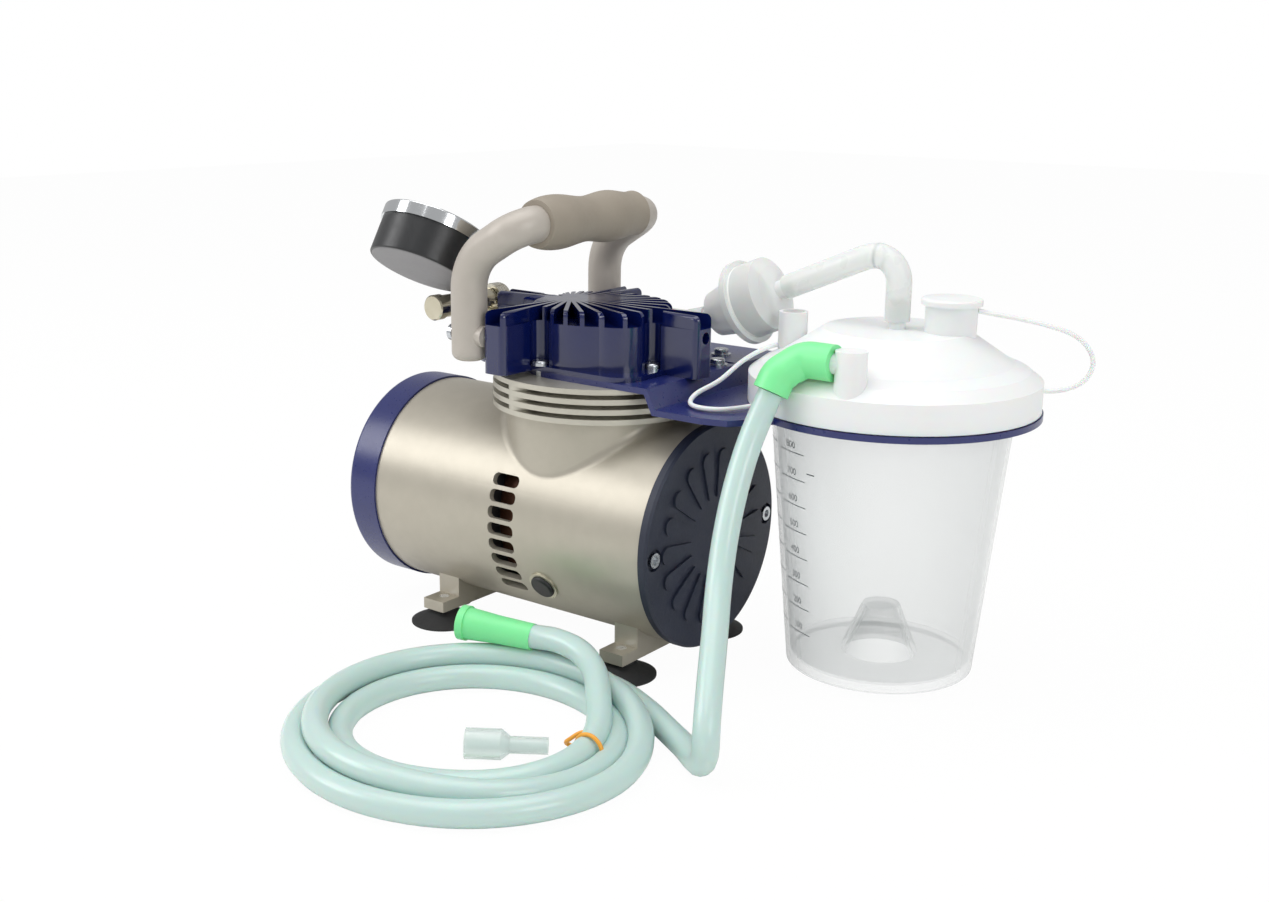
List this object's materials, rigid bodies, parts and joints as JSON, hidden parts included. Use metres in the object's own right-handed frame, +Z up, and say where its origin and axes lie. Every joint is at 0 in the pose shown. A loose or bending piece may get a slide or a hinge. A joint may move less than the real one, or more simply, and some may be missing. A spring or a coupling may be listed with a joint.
{
  "type": "vacuum aspirator",
  "caption": "Portable vacuum aspirator: ribbed pump head on a drum motor, carrying handle with vacuum gauge, lidded collection jar in a ring bracket, filter line and a coiled suction tube",
  "frame": {"origin": "middle of the bounding box of the pump and jar, at the height of the table", "axes": "X along the motor from the rear cover to the jar, Y across from the gauge side to the switch side, Z up"},
  "size_m": [0.3344, 0.3265, 0.2208],
  "materials": {
    "champagne_metal": "satin champagne metallic lacquer",
    "navy_paint": "navy enamel, semi gloss",
    "navy_gloss": "navy gloss stove enamel over a casting",
    "charcoal_moulding": "charcoal glass filled nylon, matte",
    "black_rubber": "black rubber",
    "bright_steel": "nickel plated steel",
    "core_steel": "electrical sheet, varnished",
    "copper_wire": "enamelled copper wire",
    "black_moulding": "black moulded plastic",
    "switch_moulding": "black gloss plastic",
    "cast_alloy": "die cast aluminium",
    "machined_alloy": "turned aluminium, satin",
    "seal_rubber": "filled seal compound",
    "handle_coating": "warm grey powder coat",
    "grip_rubber": "taupe soft grip",
    "nickel_brass": "nickel plated brass",
    "gauge_black": "black lacquered steel",
    "chrome_ring": "polished chrome",
    "clear_glass": "clear window",
    "dial_enamel": "white dial enamel",
    "clear_moulding": "clear frosted polypropylene",
    "white_moulding": "white translucent polypropylene",
    "milky_moulding": "milky translucent plastic",
    "float_moulding": "white polypropylene",
    "clear_hose": "milky silicone hose",
    "filter_paper": "white pleated membrane",
    "green_vinyl": "bright green soft vinyl",
    "aqua_vinyl": "pale aqua clear vinyl",
    "orange_tie": "orange plastic coated wire"
  },
  "bodies": {
    "pump": {"base_rails": "champagne_metal", "base_screws": "bright_steel", "bracket": "navy_paint", "bracket_screws": "bright_steel", "bracket_washers": "bright_steel", "catheter_adapter": "clear_moulding", "cover_screws": "bright_steel", "far_connector": "green_vinyl", "finned_cylinder": "machined_alloy", "front_cover": "charcoal_moulding", "gauge_bezel": "chrome_ring", "gauge_case": "gauge_black", "gauge_dial": "dial_enamel", "gauge_lens": "clear_glass", "gauge_stem": "nickel_brass", "handle_grip": "grip_rubber", "handle_screws": "bright_steel", "handle_tube": "handle_coating", "head_cover": "navy_gloss", "head_screws": "bright_steel", "hole_plug": "black_rubber", "motor_housing": "champagne_metal", "plug_rim": "bright_steel", "power_inlet_pins": "bright_steel", "pump_port": "nickel_brass", "rear_cover": "navy_paint", "reed_valves": "bright_steel", "regulator_body": "nickel_brass", "regulator_cap": "nickel_brass", "shaft_bearings": "bright_steel", "stator_core": "core_steel", "stator_windings": "copper_wire", "suction_feet": "black_rubber", "suction_tube": "aqua_vinyl", "switch_box": "black_moulding", "tube_coil": "aqua_vinyl", "tube_tie": "orange_tie", "valve_plate": "bright_steel"},
    "rotor": {"motor_shaft": "bright_steel", "rotor_core": "core_steel", "cooling_fan": "black_moulding", "crank": "cast_alloy"},
    "rod": {"crank_bearing": "bright_steel", "connecting_rod": "cast_alloy", "piston_cup": "seal_rubber"},
    "vacuum_knob": {"regulator_knob": "nickel_brass"},
    "pointer": {"gauge_pointer": "gauge_black"},
    "switch_rocker": {"rocker_switch": "switch_moulding"},
    "jar": {"collection_jar": "clear_moulding"},
    "jar_lid": {"lid": "white_moulding", "float_stop": "white_moulding", "cap_tethers": "white_moulding", "patient_connector": "green_vinyl"},
    "float": {"float_valve": "float_moulding"},
    "port_cap": {"wide_port_cap": "white_moulding"},
    "vacuum_line": {"line_elbow": "clear_hose", "filter_inlet_shell": "milky_moulding", "filter_outlet_shell": "milky_moulding", "filter_membrane": "filter_paper", "pump_hose": "clear_hose"}
  },
  "joints": [
    {"name": "rotor_spin", "type": "hinge", "parent": "pump", "child": "rotor", "pos_m": [-0.04231, -0.02212, 0.0639], "axis": [1, 0, 0], "continuous": true},
    {"name": "rod_turn", "type": "hinge", "parent": "rotor", "child": "rod", "pos_m": [-0.04231, -0.02212, 0.0679], "axis": [1, 0, 0], "continuous": true},
    {"name": "knob_turn", "type": "hinge", "parent": "pump", "child": "vacuum_knob", "pos_m": [-0.11731, -0.01412, 0.162], "axis": [0, 1, 0], "range_deg": [0, 720]},
    {"name": "pointer_swing", "type": "hinge", "parent": "pump", "child": "pointer", "pos_m": [-0.11731, -0.06262, 0.1913], "axis": [0, 0.515, 0.8572], "range_deg": [-270, 0]},
    {"name": "rocker_tilt", "type": "hinge", "parent": "pump", "child": "switch_rocker", "pos_m": [-0.12431, 0.03838, 0.0639], "axis": [1, 0, 0], "range_deg": [0, 11]},
    {"name": "jar_lift", "type": "slide", "parent": "pump", "child": "jar", "axis": [0, 0, 1], "range_m": [0, 0.15]},
    {"name": "lid_lift", "type": "slide", "parent": "jar", "child": "jar_lid", "axis": [0, 0, 1], "range_m": [0, 0.05]},
    {"name": "float_rise", "type": "slide", "parent": "jar_lid", "child": "float", "axis": [0, 0, 1], "range_m": [0, 0.0095]},
    {"name": "cap_lift", "type": "slide", "parent": "jar_lid", "child": "port_cap", "axis": [0, 0, 1], "range_m": [0, 0.02]},
    {"name": "line_lift", "type": "slide", "parent": "jar_lid", "child": "vacuum_line", "axis": [0, 0, 1], "range_m": [0, 0.03]}
  ],
  "couplings": [
    {"joint": "rod_turn", "follows": "rotor_spin", "ratio": -1}
  ]
}
